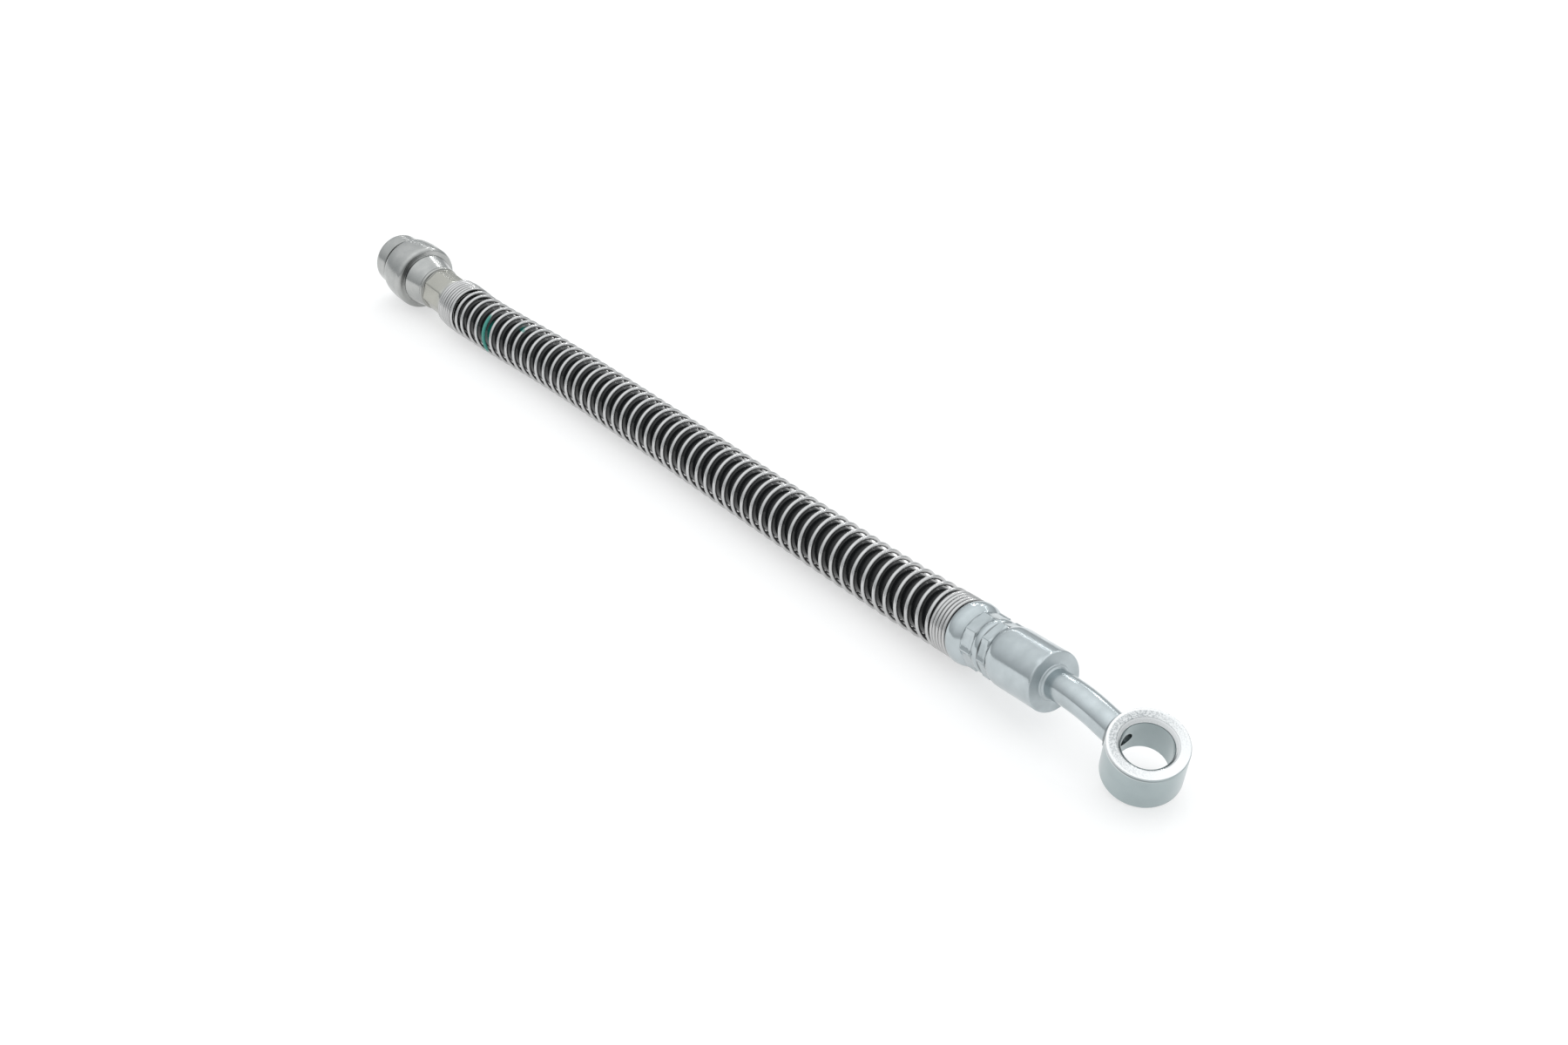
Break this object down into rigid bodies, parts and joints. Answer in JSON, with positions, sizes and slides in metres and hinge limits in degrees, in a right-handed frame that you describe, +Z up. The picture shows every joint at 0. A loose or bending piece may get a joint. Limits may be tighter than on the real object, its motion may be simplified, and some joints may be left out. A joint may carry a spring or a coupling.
{
  "type": "brake hose",
  "caption": "Flexible rubber brake hose inside a wire guard spring, with a crimped female port fitting at one end and a bent pipe with a banjo eye at the other.",
  "frame": {"origin": "middle of the part's box, on the surface that it lies on", "axes": "+X along the hose from the female fitting to the banjo eye, +Z up as the part lies, +Y to the left of +X"},
  "size_m": [0.3023, 0.022, 0.0185],
  "materials": {
    "cover_rubber": "smooth glossy black",
    "liner_rubber": "matt black",
    "braid_textile": "braided cord",
    "spring_wire": "bright drawn wire",
    "neutral_zinc": "zinc plated, neutral",
    "blue_zinc": "zinc plated, blue bright"
  },
  "bodies": {
    "root": {"hose_cover": "cover_rubber", "outer_braid": "braid_textile", "cushion_layer": "liner_rubber", "inner_braid": "braid_textile", "hose_liner": "liner_rubber", "guard_spring": "spring_wire", "female_fitting": "neutral_zinc", "banjo_ferrule": "blue_zinc", "banjo_pipe": "blue_zinc", "banjo_eye": "blue_zinc"}
  },
  "joints": []
}
